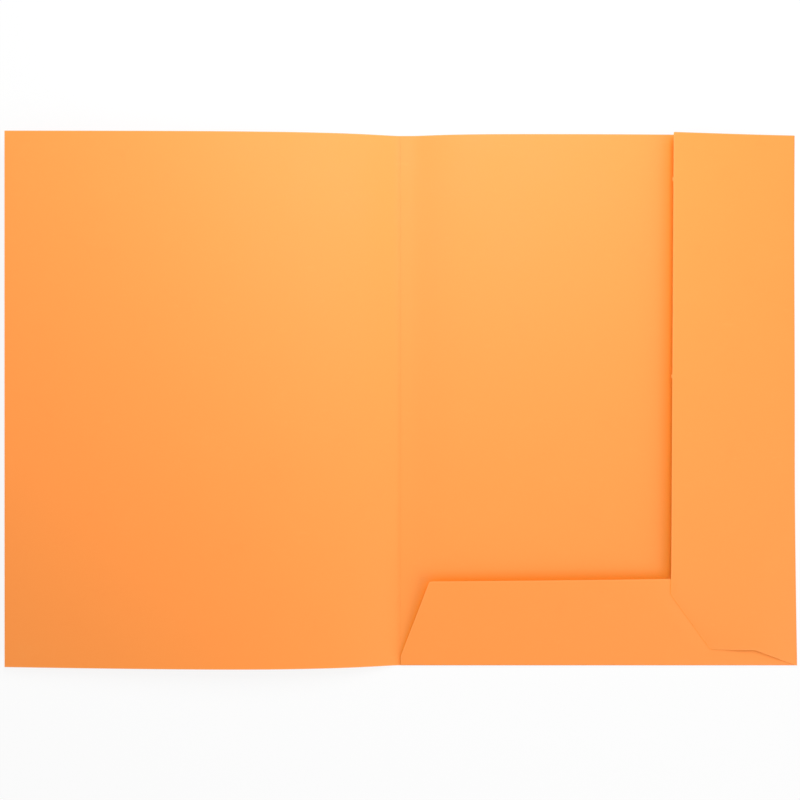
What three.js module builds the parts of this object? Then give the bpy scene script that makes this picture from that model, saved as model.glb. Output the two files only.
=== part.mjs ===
import * as THREE from "three";

// A card folder with two flaps, lying open on its back. Millimetres, Z up from the table.
// X runs across the open folder: front cover to the left, back panel to the right.
// Y runs up the page. The origin is on the table under the middle of the open folder.
//
// The folder is one die-cut sheet. Each mesh is a panel of that sheet, or the rolled strip
// of card at a scored line between two panels. A small seam parts neighbouring pieces.

// The sheet
const CARD = 0.4;
const HEIGHT = 320;
const SEAM = 0.3;

// The back panel, from the spine line to the outside of the right fold
const PANEL_WIDTH = 238.7;

// The spine strip, half on each side of the scored line
const SPINE_HALF = 6.5;

// The front cover's reach from the spine line, at its lower and upper edges
const COVER_REACH_LOW = 237.3;
const COVER_REACH_HIGH = 234.2;

// The cover rises quickly from the spine, stays high and sinks slowly to the free edge
const CREASE_EASE = 4;
const BOW_RISE = 18;
const BOW_LENGTH = 51;
const BOW_FALL = 0.036;

// Its upper corner stands higher than its lower corner
const TWIST_START = 75;
const TWIST_END = 236;
const TWIST_RISE = 4.6;
const TWIST_POWER = 1.3;

// Rolled folds: radius to the middle of the card, and how far each arm runs to its panel
const SIDE_ROLL = 0.6;
const BOTTOM_ROLL = 0.35;
const FOLD_ARM = 2;
const ROLL_STEPS = 14;

// Both flaps spring up a little from the closed position
const FLAP_LIFT = THREE.MathUtils.degToRad(5.5);

// The side flap: width from the fold's axis, and its lower end as [from axis, from bottom]
const SIDE_FLAP_WIDTH = 75.3;
const SIDE_FLAP_START = 1.6;
const SIDE_FLAP_TOE = [23.8, 9.7];
const SIDE_FLAP_HEEL = [50.4, 10];
const SIDE_FLAP_CHIN = [SIDE_FLAP_WIDTH, 43.8];

// Two uncut nicks left by the die on the side flap's inner edge, by height on the page
const NICK_HEIGHTS = [132, 14.5];
const NICK_LENGTH = 2.4;
const NICK_DEPTH = 0.6;

// The bottom flap: heights from the fold's axis at its two upper corners, slanted end by the
// spine that starts a little above the fold, mitred end under the side flap
const BOTTOM_FLAP_HEIGHT = 51.2;
const BOTTOM_FLAP_HEIGHT_RIGHT = 52.9;
const BOTTOM_FLAP_START = 0.6;
const BOTTOM_FLAP_SLANT_FROM = 5.2;
const BOTTOM_FLAP_CORNER = 17.9;
const MITRE_START = 2;
const MITRE_SLOPE = 1.1;
const CORNER_RADIUS = 1.5;

// The gap left open where the two rolled folds meet
const CORNER_NOTCH = 0.9;

// Where the lines of the sheet lie
const SPINE_X = (COVER_REACH_LOW - PANEL_WIDTH) / 2;
const RIGHT_X = SPINE_X + PANEL_WIDTH;
const TOP_Y = HEIGHT / 2;
const BOTTOM_Y = -HEIGHT / 2;
const SIDE_AXIS_X = RIGHT_X - SIDE_ROLL - CARD / 2;
const SIDE_AXIS_Z = SIDE_ROLL + CARD / 2;
const BOTTOM_AXIS_Y = BOTTOM_Y + BOTTOM_ROLL + CARD / 2;
const BOTTOM_AXIS_Z = BOTTOM_ROLL + CARD / 2;

function card(color) {
  return new THREE.MeshStandardMaterial({ color, roughness: 0.62, metalness: 0 });
}

// Height of the middle of the cover's card, at a distance from the spine line and a height
// on the page
function coverHeight(distance, y) {
  const run = Math.hypot(distance, CREASE_EASE) - CREASE_EASE;
  const bow = BOW_RISE * (1 - Math.exp(-run / BOW_LENGTH)) - BOW_FALL * run;
  const along = Math.max(0, (distance - TWIST_START) / (TWIST_END - TWIST_START));
  const twist = TWIST_RISE * along ** TWIST_POWER;
  return CARD / 2 + bow + (twist * y) / (HEIGHT / 2);
}

// A closed sheet of card from a grid of points on its middle surface. rows[i][j] runs
// along X in i and along Y in j.
function curvedCard(rows) {
  const across = rows.length;
  const along = rows[0].length;
  const positions = [];
  const point = (i, j) => rows[Math.min(Math.max(i, 0), across - 1)][Math.min(Math.max(j, 0), along - 1)];
  for (const side of [1, -1]) {
    for (let i = 0; i < across; i += 1) {
      for (let j = 0; j < along; j += 1) {
        const alongX = new THREE.Vector3().subVectors(point(i + 1, j), point(i - 1, j));
        const alongY = new THREE.Vector3().subVectors(point(i, j + 1), point(i, j - 1));
        const normal = new THREE.Vector3().crossVectors(alongX, alongY).normalize();
        const place = point(i, j).clone().addScaledVector(normal, (side * CARD) / 2);
        positions.push(place.x, place.y, place.z);
      }
    }
  }
  const index = [];
  const upper = (i, j) => i * along + j;
  const lower = (i, j) => across * along + upper(i, j);
  const quad = (a, b, c, d) => index.push(a, b, c, a, c, d);
  for (let i = 0; i < across - 1; i += 1) {
    for (let j = 0; j < along - 1; j += 1) {
      quad(upper(i, j), upper(i + 1, j), upper(i + 1, j + 1), upper(i, j + 1));
      quad(lower(i, j), lower(i, j + 1), lower(i + 1, j + 1), lower(i + 1, j));
    }
  }
  for (let i = 0; i < across - 1; i += 1) {
    quad(lower(i, 0), lower(i + 1, 0), upper(i + 1, 0), upper(i, 0));
    quad(upper(i, along - 1), upper(i + 1, along - 1), lower(i + 1, along - 1), lower(i, along - 1));
  }
  for (let j = 0; j < along - 1; j += 1) {
    quad(upper(0, j), upper(0, j + 1), lower(0, j + 1), lower(0, j));
    quad(lower(across - 1, j), lower(across - 1, j + 1), upper(across - 1, j + 1), upper(across - 1, j));
  }
  const geometry = new THREE.BufferGeometry();
  geometry.setAttribute("position", new THREE.Float32BufferAttribute(positions, 3));
  geometry.setIndex(index);
  geometry.computeVertexNormals();
  return geometry;
}

// A flat piece of card cut to an outline in its own X and Y, from z = 0 up
function flatCard(shape) {
  return new THREE.ExtrudeGeometry(shape, { depth: CARD, bevelEnabled: false, curveSegments: 6 });
}

// The section of a rolled fold: an arm on the panel, half a turn outwards, and an arm on
// the flap. X runs inwards from the fold's axis and Y runs up.
function rolledSection(roll) {
  const outer = roll + CARD / 2;
  const inner = roll - CARD / 2;
  const turn = Math.PI - FLAP_LIFT;
  const onRoll = (radius, angle) =>
    new THREE.Vector2(-radius * Math.sin(angle), -radius * Math.cos(angle));
  const armWay = new THREE.Vector2(Math.cos(FLAP_LIFT), Math.sin(FLAP_LIFT)).multiplyScalar(FOLD_ARM);
  const points = [new THREE.Vector2(FOLD_ARM, -outer)];
  for (let k = 0; k <= ROLL_STEPS; k += 1) {
    points.push(onRoll(outer, (turn * k) / ROLL_STEPS));
  }
  points.push(onRoll(outer, turn).add(armWay), onRoll(inner, turn).add(armWay));
  for (let k = ROLL_STEPS; k >= 0; k -= 1) {
    points.push(onRoll(inner, (turn * k) / ROLL_STEPS));
  }
  points.push(new THREE.Vector2(FOLD_ARM, -inner));
  return new THREE.Shape(points);
}

// Rounds one corner of an outline that is being drawn towards the next point
function roundedCorner(shape, before, corner, after, radius) {
  const to = (from) => new THREE.Vector2().subVectors(from, corner).setLength(radius).add(corner);
  const start = to(before);
  const end = to(after);
  shape.lineTo(start.x, start.y);
  shape.quadraticCurveTo(corner.x, corner.y, end.x, end.y);
}

function named(name, geometry, material) {
  const mesh = new THREE.Mesh(geometry, material);
  mesh.name = name;
  return mesh;
}

function spread(from, to, count, ease = 1) {
  return Array.from({ length: count + 1 }, (_, k) => from + (to - from) * (k / count) ** ease);
}

function makeBackPanel() {
  const left = SPINE_X + SPINE_HALF + SEAM;
  const right = SIDE_AXIS_X - FOLD_ARM - SEAM;
  const bottom = BOTTOM_AXIS_Y + FOLD_ARM + SEAM;
  const shape = new THREE.Shape();
  shape.moveTo(left, bottom);
  shape.lineTo(right, bottom);
  shape.lineTo(right, TOP_Y);
  shape.lineTo(left, TOP_Y);
  shape.closePath();
  return named("back_panel", flatCard(shape), card(0xf59a4a));
}

function makeFrontCover() {
  const start = SPINE_HALF + SEAM;
  const rows = spread(1, 0, 26, 0.62).map((part) =>
    spread(BOTTOM_Y, TOP_Y, 10).map((y) => {
      const reach = THREE.MathUtils.mapLinear(y, BOTTOM_Y, TOP_Y, COVER_REACH_LOW, COVER_REACH_HIGH);
      const distance = start + (reach - start) * part;
      return new THREE.Vector3(SPINE_X - distance, y, coverHeight(distance, y));
    }),
  );
  return named("front_cover", curvedCard(rows), card(0xf6a050));
}

// The strip is flat to the right of the scored line and starts the cover's rise to its
// left. Its lower right corner gives way to the bottom fold, which starts at the line.
function makeSpineFold() {
  const step = BOTTOM_FLAP_START - SEAM;
  const stations = [...spread(-SPINE_HALF, 0, 8), ...spread(step, SPINE_HALF, 3)];
  const rows = stations.map((across) => {
    const low = across > 0 ? BOTTOM_AXIS_Y + FOLD_ARM + SEAM : BOTTOM_Y;
    return spread(low, TOP_Y, 8).map((y) => {
      const height = across < 0 ? coverHeight(-across, y) : CARD / 2;
      return new THREE.Vector3(SPINE_X + across, y, height);
    });
  });
  return named("spine_fold", curvedCard(rows), card(0xec8f42));
}

function makeSideFold() {
  const length = HEIGHT - CORNER_NOTCH;
  const geometry = new THREE.ExtrudeGeometry(rolledSection(SIDE_ROLL), {
    depth: length,
    bevelEnabled: false,
  });
  const mesh = named("side_fold", geometry, card(0xec8f42));
  // The section's X points to the left of the page, its Y up and its length up the page
  mesh.setRotationFromMatrix(
    new THREE.Matrix4().makeBasis(
      new THREE.Vector3(-1, 0, 0),
      new THREE.Vector3(0, 0, 1),
      new THREE.Vector3(0, 1, 0),
    ),
  );
  mesh.position.set(SIDE_AXIS_X, BOTTOM_Y + CORNER_NOTCH, SIDE_AXIS_Z);
  return mesh;
}

function makeBottomFold() {
  const left = SPINE_X + BOTTOM_FLAP_START;
  const right = SIDE_AXIS_X - FOLD_ARM - 2 * SEAM;
  const geometry = new THREE.ExtrudeGeometry(rolledSection(BOTTOM_ROLL), {
    depth: right - left,
    bevelEnabled: false,
  });
  const mesh = named("bottom_fold", geometry, card(0xec8f42));
  // The section's X points up the page, its Y up and its length across the page
  mesh.setRotationFromMatrix(
    new THREE.Matrix4().makeBasis(
      new THREE.Vector3(0, 1, 0),
      new THREE.Vector3(0, 0, 1),
      new THREE.Vector3(1, 0, 0),
    ),
  );
  mesh.position.set(left, BOTTOM_AXIS_Y, BOTTOM_AXIS_Z);
  return mesh;
}

// Drawn with X to the left from the fold's axis and Y up the page, then laid on its fold
function makeSideFlap() {
  const first = FOLD_ARM + SEAM;
  const at = ([fromAxis, fromBottom]) => new THREE.Vector2(-fromAxis, BOTTOM_Y + fromBottom);
  const toe = at(SIDE_FLAP_TOE);
  const heel = at(SIDE_FLAP_HEEL);
  const chin = at(SIDE_FLAP_CHIN);
  const slope = (SIDE_FLAP_TOE[1] - SIDE_FLAP_START) / SIDE_FLAP_TOE[0];
  const low = at([first, SIDE_FLAP_START + slope * first]);
  const high = at([SIDE_FLAP_WIDTH, HEIGHT]);
  const shape = new THREE.Shape();
  shape.moveTo(low.x, low.y);
  shape.lineTo(-first, TOP_Y);
  roundedCorner(shape, new THREE.Vector2(-first, TOP_Y), high, chin, 0.8);
  for (const height of NICK_HEIGHTS) {
    const half = NICK_LENGTH / 2;
    shape.lineTo(-SIDE_FLAP_WIDTH, height + half);
    shape.lineTo(-SIDE_FLAP_WIDTH - NICK_DEPTH, height + half - 0.4);
    shape.lineTo(-SIDE_FLAP_WIDTH - NICK_DEPTH, height - half + 0.4);
    shape.lineTo(-SIDE_FLAP_WIDTH, height - half);
  }
  roundedCorner(shape, high, chin, heel, CORNER_RADIUS);
  roundedCorner(shape, chin, heel, toe, CORNER_RADIUS);
  roundedCorner(shape, heel, toe, low, CORNER_RADIUS);
  shape.closePath();
  const mesh = named("side_flap", flatCard(shape), card(0xf59a4a));
  mesh.position.z = SIDE_ROLL - CARD / 2;
  const hinge = new THREE.Group();
  hinge.position.set(SIDE_AXIS_X, 0, SIDE_AXIS_Z);
  hinge.rotation.y = FLAP_LIFT;
  hinge.add(mesh);
  return hinge;
}

// Drawn with X across the page from the spine line and Y up from the fold's axis
function makeBottomFlap() {
  const first = FOLD_ARM + SEAM;
  const rightAt = (height) => PANEL_WIDTH - MITRE_START - MITRE_SLOPE * height;
  const at = (x, height) => new THREE.Vector2(x, height);
  const lowLeft = at(BOTTOM_FLAP_START, first);
  const slantFoot = at(BOTTOM_FLAP_START, BOTTOM_FLAP_SLANT_FROM);
  const lowRight = at(rightAt(first), first);
  const highRight = at(rightAt(BOTTOM_FLAP_HEIGHT_RIGHT), BOTTOM_FLAP_HEIGHT_RIGHT);
  const highLeft = at(BOTTOM_FLAP_CORNER, BOTTOM_FLAP_HEIGHT);
  const shape = new THREE.Shape();
  shape.moveTo(lowLeft.x, lowLeft.y);
  shape.lineTo(lowRight.x, lowRight.y);
  roundedCorner(shape, lowRight, highRight, highLeft, CORNER_RADIUS);
  roundedCorner(shape, highRight, highLeft, slantFoot, CORNER_RADIUS);
  roundedCorner(shape, highLeft, slantFoot, lowLeft, CORNER_RADIUS);
  shape.closePath();
  const mesh = named("bottom_flap", flatCard(shape), card(0xf59a4a));
  mesh.position.z = BOTTOM_ROLL - CARD / 2;
  const hinge = new THREE.Group();
  hinge.position.set(SPINE_X, BOTTOM_AXIS_Y, BOTTOM_AXIS_Z);
  hinge.rotation.x = FLAP_LIFT;
  hinge.add(mesh);
  return hinge;
}

const folder = new THREE.Group();
folder.add(
  makeBackPanel(),
  makeFrontCover(),
  makeSpineFold(),
  makeSideFold(),
  makeBottomFold(),
  makeSideFlap(),
  makeBottomFlap(),
);

export default folder;
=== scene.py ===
"""Looks of an orange card folder with two flaps, lying open on a pale table.

Metres, Z up from the table. X runs across the open folder, from the front cover to the
back panel, and Y up the page. The folder is one die-cut sheet of dyed card; each piece
here is a panel of it, or the rolled strip at a scored line between two panels.
"""

import logging
import math
from dataclasses import dataclass, field
from enum import Enum
from typing import Callable, Sequence

import bmesh
import bpy
import numpy as np
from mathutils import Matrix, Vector


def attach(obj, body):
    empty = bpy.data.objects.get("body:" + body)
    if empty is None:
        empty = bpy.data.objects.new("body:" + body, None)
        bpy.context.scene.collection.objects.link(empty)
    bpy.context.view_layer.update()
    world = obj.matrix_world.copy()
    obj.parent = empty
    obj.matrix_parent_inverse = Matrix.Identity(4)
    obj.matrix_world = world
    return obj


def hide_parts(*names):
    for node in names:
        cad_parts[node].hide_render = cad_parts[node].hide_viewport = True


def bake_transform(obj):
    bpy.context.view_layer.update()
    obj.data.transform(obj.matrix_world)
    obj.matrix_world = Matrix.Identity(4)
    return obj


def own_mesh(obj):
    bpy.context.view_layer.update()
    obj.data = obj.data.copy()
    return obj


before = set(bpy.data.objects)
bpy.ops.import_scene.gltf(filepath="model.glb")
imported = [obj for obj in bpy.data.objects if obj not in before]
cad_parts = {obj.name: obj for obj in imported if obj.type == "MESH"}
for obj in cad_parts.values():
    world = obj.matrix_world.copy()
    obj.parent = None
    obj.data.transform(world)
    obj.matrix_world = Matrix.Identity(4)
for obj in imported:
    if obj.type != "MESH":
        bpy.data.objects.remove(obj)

logging.basicConfig(level=logging.INFO, format="%(message)s")
LOG = logging.getLogger("folder")
MM = 0.001
# Distances at which points merge, a point lies on a line, and a length counts as none.
MERGE = 1e-7
TOUCH = 1e-6
TINY = 1e-12

Surface = Callable[[np.ndarray, np.ndarray], np.ndarray]
Point = tuple[float, float]
Triple = tuple[float, float, float]
Material = bpy.types.Material
Piece = bpy.types.Object
Tree = bpy.types.NodeTree
Node = bpy.types.Node
Socket = bpy.types.NodeSocket
WHITE = (1.0, 1.0, 1.0, 1.0)


class Body(Enum):
    """The rigid parts of the folder that the pieces ride on."""

    BACK = "back"
    COVER = "cover"
    SIDE_FLAP = "side_flap"
    BOTTOM_FLAP = "bottom_flap"


class Slot(Enum):
    """The record's material slots."""

    INSIDE = "card_inside"
    OUTSIDE = "card_outside"
    FOLD = "card_fold"


@dataclass(frozen=True)
class Sheet:
    """The lines of the folder's sheet as it lies open, in metres.

    The same sizes as the solids: the panels meet their strips here without a seam.
    """

    card: float = 0.4 * MM
    height: float = 320 * MM
    panel_width: float = 238.7 * MM
    spine_half: float = 6.65 * MM
    reach_low: float = 237.3 * MM
    reach_high: float = 234.2 * MM
    crease_ease: float = 4 * MM
    bow_rise: float = 18 * MM
    bow_length: float = 51 * MM
    bow_fall: float = 0.036
    twist_start: float = 75 * MM
    twist_end: float = 236 * MM
    twist_rise: float = 4.6 * MM
    twist_power: float = 1.3
    side_roll: float = 0.6 * MM
    bottom_roll: float = 0.35 * MM
    fold_arm: float = 2.15 * MM
    flap_lift: float = math.radians(5.5)
    corner_notch: float = 0.15 * MM
    corner_swell: float = 1.4 * MM
    crushed_band: float = 0.7 * MM
    crushed_depth: float = 0.05 * MM
    edge_swell: float = 0.12

    @property
    def spine_x(self) -> float:
        """Where the scored spine line lies."""
        return (self.reach_low - self.panel_width) / 2

    @property
    def right_x(self) -> float:
        """The outside of the right fold."""
        return self.spine_x + self.panel_width

    @property
    def top_y(self) -> float:
        """The upper edge of the page."""
        return self.height / 2

    @property
    def bottom_y(self) -> float:
        """The outside of the bottom fold."""
        return -self.height / 2

    @property
    def side_axis(self) -> Point:
        """X and Z of the right fold's axis."""
        reach = self.side_roll + self.card / 2
        return self.right_x - reach, reach

    @property
    def bottom_axis(self) -> Point:
        """Y and Z of the bottom fold's axis."""
        reach = self.bottom_roll + self.card / 2
        return self.bottom_y + reach, reach

    @property
    def lift_way(self) -> Point:
        """Cosine and sine of the angle at which the flaps rise from their folds."""
        return math.cos(self.flap_lift), math.sin(self.flap_lift)

    def cover_height(self, distance: np.ndarray, y: np.ndarray) -> np.ndarray:
        """Height of the middle of the cover's card.

        Args:
            distance: how far from the spine line, measured along the table.
            y: height on the page.

        Returns:
            The height above the table of each point.
        """
        run = np.hypot(distance, self.crease_ease) - self.crease_ease
        bow = self.bow_rise * (1 - np.exp(-run / self.bow_length)) - self.bow_fall * run
        span = self.twist_end - self.twist_start
        along = np.clip((distance - self.twist_start) / span, 0, None)
        twist = self.twist_rise * along**self.twist_power
        return self.card / 2 + bow + twist * y / (self.height / 2)


@dataclass(frozen=True)
class CardFinish:
    """Dyed uncoated card: its colours, its pulp and its fibres."""

    name: str
    base: Triple
    light: Triple
    deep: Triple
    roughness: float = 0.58
    smoother: float = 0.05
    rougher: float = 0.06
    fold_polish: float = 0.12
    refraction: float = 1.46
    sheen: float = 0.06
    sheen_roughness: float = 0.5
    pulp_scale: float = 38.0
    pulp_contrast: float = 0.5
    fibre_scale: float = 420.0
    fibre_relief: float = 0.16
    fibre_depth: float = 0.05 * MM
    pulp_relief: float = 0.8
    edge_width: float = 0.9
    fold_width: float = 1.6
    edge_wear: float = 0.35
    fold_wear: float = 0.22
    # Painted shade in hollows: how far the ambient occlusion looks, the occlusion at which the shade
    # is full, and the tint the shaded colour is multiplied by.
    painted_shade_reach: float = 15 * MM
    painted_shade_fully: float = 0.52
    painted_shade_tint: Triple = (1.0, 1.0, 0.3)


CARD_FACE = CardFinish(
    name="orange_card_face",
    base=(1.0, 0.302, 0.05),
    light=(1.0, 0.375, 0.085),
    deep=(0.94, 0.24, 0.033),
)
CARD_FOLD = CardFinish(
    name="orange_card_fold",
    base=CARD_FACE.base,
    light=CARD_FACE.light,
    deep=(0.90, 0.23, 0.032),
    roughness=0.5,
    fibre_relief=0.1,
    fold_wear=0.5,
)
CARD_CORE = CardFinish(
    name="orange_card_cut_edge",
    base=(1.0, 0.43, 0.13),
    light=(1.0, 0.58, 0.25),
    deep=(0.80, 0.25, 0.05),
    roughness=0.85,
    pulp_scale=700.0,
    pulp_contrast=0.9,
    fibre_scale=2600.0,
    fibre_relief=0.35,
    edge_wear=0.0,
    fold_wear=0.0,
)


class NodeCanvas:
    """Places and links the nodes of one tree."""

    STEP = 190
    DROP = 40
    ROWS = 5

    def __init__(self, tree: Tree) -> None:
        """Starts on an empty tree."""
        self.tree = tree
        self.column = 0

    @classmethod
    def cleared(cls, owner: Material | bpy.types.World) -> "NodeCanvas":
        """Turns on the nodes of a material or world and starts without any.

        Args:
            owner: the material or world.

        Returns:
            A canvas on its empty tree.
        """
        owner.use_nodes = True
        owner.node_tree.nodes.clear()
        return cls(owner.node_tree)

    def add(
        self,
        kind: str,
        values: dict[str | int, object] | None = None,
        **settings: object,
    ) -> Node:
        """Adds a node.

        Args:
            kind: the node's type.
            values: input values by socket name or number.
            **settings: the node's own properties.

        Returns:
            The new node.
        """
        node = self.tree.nodes.new(kind)
        node.location = (self.column * self.STEP, -self.DROP * (self.column % self.ROWS))
        self.column += 1
        for key, value in settings.items():
            setattr(node, key, value)
        for key, value in (values or {}).items():
            self.feed(node.inputs[key], value)
        return node

    def feed(self, socket: Socket, value: object) -> None:
        """Gives a socket a link if the value is a socket, else a plain value.

        Args:
            socket: the input.
            value: what it gets.
        """
        if isinstance(value, Socket):
            self.tree.links.new(value, socket)
        else:
            socket.default_value = value

    def math(
        self,
        operation: str,
        first: object,
        second: object = 0.0,
        clamp: bool = False,
    ) -> Socket:
        """Adds a Math node and returns its result.

        Args:
            operation: what the node works out.
            first: its first value or socket.
            second: its second one, where the operation has two.
            clamp: keeps the result between 0 and 1.

        Returns:
            The node's output.
        """
        values = {0: first} if operation in ("SINE", "COSINE") else {0: first, 1: second}
        node = self.add("ShaderNodeMath", values, operation=operation, use_clamp=clamp)
        return node.outputs[0]

    def remap(
        self,
        value: object,
        low: object,
        high: object,
        to_low: float = 0.0,
        to_high: float = 1.0,
    ) -> Socket:
        """Adds a smooth Map Range node and returns its result.

        Args:
            value: the value or socket to map.
            low: the value that becomes to_low.
            high: the value that becomes to_high.
            to_low: the result at low and beyond it.
            to_high: the result at high and beyond it.

        Returns:
            The node's output.
        """
        node = self.add(
            "ShaderNodeMapRange",
            {"Value": value, "From Min": low, "From Max": high, "To Min": to_low, "To Max": to_high},
            interpolation_type="SMOOTHSTEP",
        )
        return node.outputs["Result"]

    def mix_colour(
        self, share: object, first: object, second: object, blend: str = "MIX"
    ) -> Socket:
        """Adds a colour Mix node and returns its result.

        Args:
            share: how much of the second colour is taken.
            first: the first colour.
            second: the second colour.
            blend: the way of mixing.

        Returns:
            The node's output.
        """
        node = self.add("ShaderNodeMix", data_type="RGBA", blend_type=blend, clamp_factor=True)
        self.feed(node.inputs[0], share)
        self.feed(node.inputs[6], first)
        self.feed(node.inputs[7], second)
        return node.outputs[2]

    def seen_directly(self) -> Socket:
        """One where the camera sees a surface straight, in a gloss or through something.

        Returns:
            The socket that tells it.
        """
        path = self.add("ShaderNodeLightPath").outputs
        seen = self.math("MAXIMUM", path["Is Camera Ray"], path["Is Glossy Ray"])
        return self.math("MAXIMUM", seen, path["Is Transmission Ray"])


Group = tuple[Tree, NodeCanvas, Node, Node]


class CardShaders:
    """Shader node groups that all of the card's materials share."""

    def __init__(self) -> None:
        """Builds each group once."""
        self.pulp = self._pulp_clouds()
        self.fibres = self._fibre_grain()
        self.wear = self._handling_wear()
        self.colour = self._card_colour()
        self.painted_shade = self._painted_hollow_shade()

    @staticmethod
    def _group(
        name: str,
        inputs: dict[str, tuple[str, object]],
        outputs: dict[str, str],
    ) -> Group:
        """Starts a group.

        Args:
            name: the group's name.
            inputs: socket name to its type and default.
            outputs: socket name to its type.

        Returns:
            The tree, its canvas, and its input and output nodes.
        """
        tree = bpy.data.node_groups.new(name, "ShaderNodeTree")
        for label, (kind, default) in inputs.items():
            socket = tree.interface.new_socket(label, in_out="INPUT", socket_type=kind)
            if default is not None:
                socket.default_value = default
        for label, kind in outputs.items():
            tree.interface.new_socket(label, in_out="OUTPUT", socket_type=kind)
        canvas = NodeCanvas(tree)
        start = canvas.add("NodeGroupInput")
        end = canvas.add("NodeGroupOutput")
        return tree, canvas, start, end

    def _pulp_clouds(self) -> Tree:
        """Soft cloudy variation of the pulp, around one half.

        Returns:
            The group's tree.
        """
        tree, canvas, start, end = self._group(
            "Pulp Clouds",
            {
                "Vector": ("NodeSocketVector", None),
                "Scale": ("NodeSocketFloat", 38.0),
                "Contrast": ("NodeSocketFloat", 0.5),
            },
            {"Mask": "NodeSocketFloat"},
        )
        finer, finer_share, average = 9.0, 0.6, 0.8
        place, scale = start.outputs["Vector"], start.outputs["Scale"]
        wide = canvas.add(
            "ShaderNodeTexNoise",
            {"Vector": place, "Scale": scale, "Detail": 5.0, "Roughness": 0.62},
        )
        narrow_scale = canvas.math("MULTIPLY", scale, finer)
        narrow = canvas.add(
            "ShaderNodeTexNoise",
            {"Vector": place, "Scale": narrow_scale, "Detail": 4.0, "Roughness": 0.7},
        )
        small = canvas.math("MULTIPLY", narrow.outputs[0], finer_share)
        both = canvas.math("ADD", wide.outputs[0], small)
        centred = canvas.math("SUBTRACT", both, average)
        spread = canvas.math("MULTIPLY", centred, start.outputs["Contrast"])
        canvas.feed(end.inputs["Mask"], canvas.math("ADD", spread, 0.5, clamp=True))
        return tree

    def _fibre_grain(self) -> Tree:
        """Short felted fibres lying three ways, as a height and as pale flecks.

        Returns:
            The group's tree.
        """
        tree, canvas, start, end = self._group(
            "Fibre Grain",
            {
                "Vector": ("NodeSocketVector", None),
                "Scale": ("NodeSocketFloat", 420.0),
            },
            {"Height": "NodeSocketFloat", "Fleck": "NodeSocketFloat"},
        )
        layers = []
        for turn, squeeze in ((0.5, 0.22), (-0.85, 0.3), (1.9, 0.26)):
            lay = canvas.add(
                "ShaderNodeMapping",
                {
                    "Vector": start.outputs["Vector"],
                    "Rotation": (0.0, 0.0, turn),
                    "Scale": (squeeze, 1.0, 1.0),
                },
            )
            noise = canvas.add(
                "ShaderNodeTexNoise",
                {
                    "Vector": lay.outputs[0],
                    "Scale": start.outputs["Scale"],
                    "Detail": 3.0,
                    "Roughness": 0.55,
                    "Distortion": 0.7,
                },
            )
            layers.append(noise.outputs[0])
        first = canvas.math("MAXIMUM", layers[0], layers[1])
        height = canvas.math("MAXIMUM", first, layers[2])
        felted, flecked = (0.42, 0.78), (0.66, 0.82)
        canvas.feed(end.inputs["Height"], canvas.remap(height, *felted))
        canvas.feed(end.inputs["Fleck"], canvas.remap(height, *flecked))
        return tree

    def _handling_wear(self) -> Tree:
        """Masks along the cut edges and the scored lines, broken up by the pulp.

        Returns:
            The group's tree.
        """
        tree, canvas, start, end = self._group(
            "Handling Wear",
            {
                "Cut Distance": ("NodeSocketFloat", 10.0),
                "Fold Distance": ("NodeSocketFloat", 10.0),
                "Edge Width": ("NodeSocketFloat", 0.9),
                "Fold Width": ("NodeSocketFloat", 1.6),
                "Pulp": ("NodeSocketFloat", 0.5),
            },
            {"Edge": "NodeSocketFloat", "Fold": "NodeSocketFloat"},
        )
        unevenness, least = 1.6, 0.2
        broken = canvas.math("MULTIPLY", start.outputs["Pulp"], unevenness)
        broken = canvas.math("ADD", broken, least)
        for label in ("Cut", "Fold"):
            width = start.outputs["Edge Width" if label == "Cut" else "Fold Width"]
            reach = canvas.math("MULTIPLY", width, broken)
            share = canvas.math("DIVIDE", start.outputs[f"{label} Distance"], reach)
            mask = canvas.remap(share, 1.0, 0.0)
            canvas.feed(end.inputs["Edge" if label == "Cut" else "Fold"], mask)
        return tree

    def _card_colour(self) -> Tree:
        """Mixes the dye's base, light and deep tones by the masks.

        Returns:
            The group's tree.
        """
        tree, canvas, start, end = self._group(
            "Card Colour",
            {
                "Base": ("NodeSocketColor", (0.9, 0.3, 0.1, 1.0)),
                "Light": ("NodeSocketColor", (1.0, 0.4, 0.1, 1.0)),
                "Deep": ("NodeSocketColor", (0.8, 0.2, 0.1, 1.0)),
                "Pulp": ("NodeSocketFloat", 0.5),
                "Fleck": ("NodeSocketFloat", 0.0),
                "Edge": ("NodeSocketFloat", 0.0),
                "Fold": ("NodeSocketFloat", 0.0),
            },
            {"Color": "NodeSocketColor"},
        )
        deep_share = canvas.remap(start.outputs["Pulp"], 0.5, 0.05, 0.0, 0.5)
        light_share = canvas.remap(start.outputs["Pulp"], 0.5, 0.95, 0.0, 0.4)
        dyed = canvas.mix_colour(deep_share, start.outputs["Base"], start.outputs["Deep"])
        dyed = canvas.mix_colour(light_share, dyed, start.outputs["Light"])
        fleck_strength = 0.16
        fleck_share = canvas.math("MULTIPLY", start.outputs["Fleck"], fleck_strength)
        flecked = canvas.mix_colour(fleck_share, dyed, start.outputs["Light"])
        folded = canvas.mix_colour(start.outputs["Fold"], flecked, start.outputs["Deep"])
        worn = canvas.mix_colour(start.outputs["Edge"], folded, start.outputs["Light"])
        canvas.feed(end.inputs["Color"], worn)
        return tree

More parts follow.
